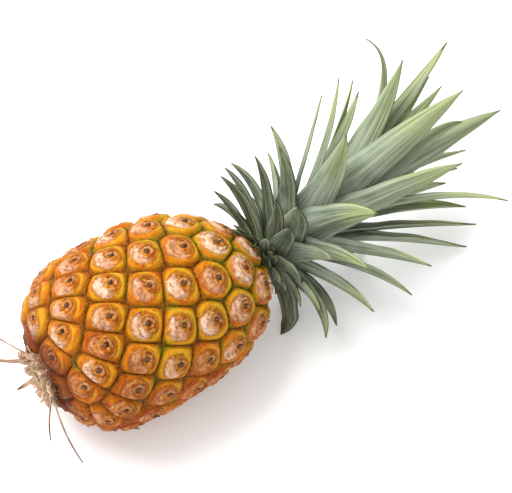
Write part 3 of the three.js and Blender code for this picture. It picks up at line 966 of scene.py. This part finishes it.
def makeStub():
    radius, start, end = stub["radius"], stub["startX"], stub["endX"]
    profile = [(0.3, start), (radius - stub["startInset"], start)]
    profile += [(radius - inset, end + back) for inset, back in stub["edge"]]
    profile += [(radius * part, end + stub["dip"] * (1 - part) ** 1.5) for part in stub["dipRings"]]
    rings = latheRings(profile, stub["sides"], stub["ripple"])
    points = rings.reshape(-1, 3)
    outward = np.hypot(points[:, 1], points[:, 2] - fruit["axisHeight"])
    unused = np.zeros(len(points))
    marks = {"stalkPlace": [np.stack([outward, unused, unused], axis=-1)]}
    faces = tubeFaces(*rings.shape[:2])
    makePiece("cut_stub", "stem_stub", [points], faces, stubMaterial(), marks)


def stubMaterial():
    paint = Paint("cut stalk")
    outward = paint.mark("stalkPlace")[0]
    spot = paint.place()
    x, y, z = [paint.add("ShaderNodeSeparateXYZ", None, (spot,), axis) for axis in range(3)]
    fibre = paint.noise(paint.join(x * 0.12, y, z), 900, 3, 0.6)
    blotch = paint.noise(spot, 160, 3)
    colour = paint.ramp(fibre, stub["fibre"])
    ring = outward.step(5.5, 7.5) * (1 - outward.step(8.6, 10))
    colour = paint.mix(ring * 0.5, colour, stub["ring"])
    hollow = (1 - outward.step(2.0, 5.0)) * 0.8 + blotch.step(0.52, 0.68) * 0.35
    colour = paint.mix(hollow, colour, stub["hollow"])
    return paint.finish({
        "Base Color": colour,
        "Roughness": 0.85,
        "Specular IOR Level": 0.1,
        "Normal": paint.bump(fibre, 0.7, 0.8 * mm),
    })


makeStub()


# Dried collar round the stub: a ring with short bracts, thin fibres between them and long strands

collar = {
    # radius and x round the closed profile of the ring
    "ring": [
        (11.2, -70.5),
        (15.6, -70.5),
        (15.6, -73),
        (15.2, -76),
        (13.6, -76.3),
        (11.5, -75.8),
        (11.2, -73),
        (11.2, -70.5),
    ],
    "rootX": -75,
    "sides": 96,
    "ripple": 0.02,
    "thickness": 0.8,
    "edge": 0.5,
    "across": 7,
    "gutter": 0.08,
    "darkness": -0.05,
    "bracts": 11,
    "bract": {
        "radius": 13.5,
        "tilt": 52,
        "droop": 28,
        "length": 9.5,
        "width": 7.5,
        "steps": 10,
        "gutterGrowth": 0.5,
    },
    "bractVary": {"around": 8, "tilt": 12, "length": 2.5},
    "strands": [
        {"around": 318, "tilt": 50, "droop": 18, "length": 40, "width": 3},
        {"around": 262, "tilt": 30, "droop": 25, "length": 34, "width": 4},
        {"around": 88, "tilt": 46, "droop": 20, "length": 34, "width": 3.4},
        {"around": 126, "tilt": 76, "droop": 22, "length": 47, "width": 2.6},
        {"around": 205, "tilt": 58, "droop": 25, "length": 30, "width": 3.2},
    ],
    "strand": {"radius": 13.5, "steps": 18, "gutterGrowth": 0.2},
    "fibres": 64,
    "fibre": {
        "radius": 13.3,
        "tilt": 50,
        "droop": 25,
        "length": 6,
        "width": 1.7,
        "steps": 6,
        "gutterGrowth": 0.4,
    },
    "fibreVary": {"tilt": 45, "length": 0.5, "width": 0.4, "radius": 1.9},
}


def bractRule(index):
    rule, vary = dict(collar["bract"]), collar["bractVary"]
    rule["around"] = index * 360 / collar["bracts"] + vary["around"] * scatter(index, 11)
    rule["tilt"] += vary["tilt"] * scatter(index, 12)
    rule["length"] += vary["length"] * scatter(index, 13)
    return rule


def fibreRule(index):
    rule, vary = dict(collar["fibre"]), collar["fibreVary"]
    rule["around"] = index * fruit["goldenAngle"]
    rule["tilt"] += vary["tilt"] * scatter(index, 14)
    rule["droop"] *= scatter(index, 15)
    rule["length"] *= 1 + vary["length"] * scatter(index, 16)
    rule["width"] *= 1 + vary["width"] * scatter(index, 17)
    rule["radius"] += vary["radius"] * scatter(index, 18)
    return rule


def dryBladeRings(rule):
    around, steps = math.radians(rule["around"]), rule["steps"]
    outward = np.array([0, -math.sin(around), math.cos(around)])
    backward = np.array([-1.0, 0, 0])
    start = np.array([collar["rootX"], 0, fruit["axisHeight"]]) + outward * rule["radius"]
    part = np.linspace(0, 1, steps + 1)
    tilt = np.radians(rule["tilt"] + rule["droop"] * part[:-1])[:, None]
    heading = backward * np.cos(tilt) + outward * np.sin(tilt)
    spine = np.concatenate([start[None], start + np.cumsum(heading, axis=0) * rule["length"] / steps])
    spine[:, 2] = np.maximum(spine[:, 2], collar["thickness"])
    width = np.maximum(0.6, rule["width"] * (1 - part**2) ** 0.7)
    thickness = collar["thickness"] * (1 - 0.35 * part)
    side = np.cross(outward, backward)
    gutter = collar["gutter"] + rule["gutterGrowth"] * part
    return bladeRings(spine, side, width, gutter, thickness, collar["edge"], collar["across"])


def makeDryCollar():
    ring = latheRings(collar["ring"], collar["sides"], collar["ripple"])
    dryLeaves = Bunch()
    # the ring's last tone number gives it painted shade, for the hollow round the stub
    dryLeaves.add(ring, np.zeros((ring.shape[0] * ring.shape[1], 3)), [0.3, 0, 1], capped=False)
    bracts = [bractRule(index) for index in range(collar["bracts"])]
    strands = [{**collar["strand"], **strand} for strand in collar["strands"]]
    fibres = [fibreRule(index) for index in range(collar["fibres"])]
    for number, rule in enumerate(bracts + strands + fibres):
        isStrand = 0 <= number - len(bracts) < len(strands)
        rings = dryBladeRings(rule)
        tone = [(number * 0.37) % 1, isStrand, 0]
        dryLeaves.add(rings, bladePlaces(len(rings), collar["across"]), tone)
    dryLeaves.make("dry_collar", "dry_leaves", dryMaterial("dry leaf", collar["darkness"]))


makeDryCollar()


# Pale floor, even daylight and one large soft lamp

studio = {
    "floorColour": (0.93, 0.93, 0.93),
    "floorSpeck": (0.84, 0.84, 0.84),
    "floorGlow": 0.12,
    "floorSize": 8000,
    "daylight": 1.0,
    "lampPower": 33,
    "lampSize": 1150,
    "lampFrom": (-340, 690, 1420),
    "lampAim": (60, 0, 50),
}


def makeFloor():
    half = studio["floorSize"] / 2
    corners = np.array([(-half, -half, 0), (half, -half, 0), (half, half, 0), (-half, half, 0)])
    mesh = bpy.data.meshes.new("floor")
    mesh.from_pydata((corners * mm).tolist(), [], [(0, 1, 2, 3)])
    paint = Paint("floor")
    grain = paint.noise(paint.place(), 300, 2)
    colour = paint.mix(grain * 0.04, studio["floorColour"], studio["floorSpeck"])
    glow = {"Emission Color": (1, 1, 1), "Emission Strength": studio["floorGlow"]}
    mesh.materials.append(paint.finish({"Base Color": colour, "Roughness": 0.8, **glow}))
    floor = bpy.data.objects.new("floor", mesh)
    bpy.context.scene.collection.objects.link(floor)


def makeLight():
    world = bpy.data.worlds.new("daylight")
    world.use_nodes = True
    sky = world.node_tree.nodes["Background"]
    sky.inputs["Color"].default_value = (1, 1, 1, 1)
    sky.inputs["Strength"].default_value = studio["daylight"]
    bpy.context.scene.world = world
    lamp = bpy.data.lights.new("lamp", "AREA")
    lamp.energy = studio["lampPower"]
    lamp.size = studio["lampSize"] * mm
    light = bpy.data.objects.new("lamp", lamp)
    light.location = Vector(studio["lampFrom"]) * mm
    aim = Vector(studio["lampAim"]) * mm - light.location
    light.rotation_euler = aim.to_track_quat("-Z", "Y").to_euler()
    bpy.context.scene.collection.objects.link(light)
    bpy.context.scene.view_settings.view_transform = "Standard"


makeFloor()
makeLight()
print("floor and light made")


# Camera, looking down on the fruit from beyond its base

view = {
    "azimuth": -33.26,
    "elevation": 60,
    "distance": 1887,
    "lens": 216.3,
    "sensor": 36,
    "farthest": 20000,
    "rightOfFruit": 66.8,
    "aboveFruit": 42.1,
}


def makeCamera():
    turn, rise = math.radians(view["azimuth"]), math.radians(view["elevation"])
    back = Vector((math.sin(turn) * math.cos(rise), -math.cos(turn) * math.cos(rise), math.sin(rise)))
    right = Vector((math.cos(turn), math.sin(turn), 0))
    up = back.cross(right)
    aim = Vector((0, 0, fruit["axisHeight"])) + right * view["rightOfFruit"] + up * view["aboveFruit"]
    data = bpy.data.cameras.new("camera")
    data.lens = view["lens"]
    data.sensor_width = view["sensor"]
    data.sensor_fit = "HORIZONTAL"
    data.clip_end = view["farthest"] * mm
    camera = bpy.data.objects.new("camera", data)
    turned = Matrix((right, up, back)).transposed().to_4x4()
    camera.matrix_world = Matrix.Translation((aim + back * view["distance"]) * mm) @ turned
    bpy.context.scene.collection.objects.link(camera)
    bpy.context.scene.camera = camera


makeCamera()
print("camera made")
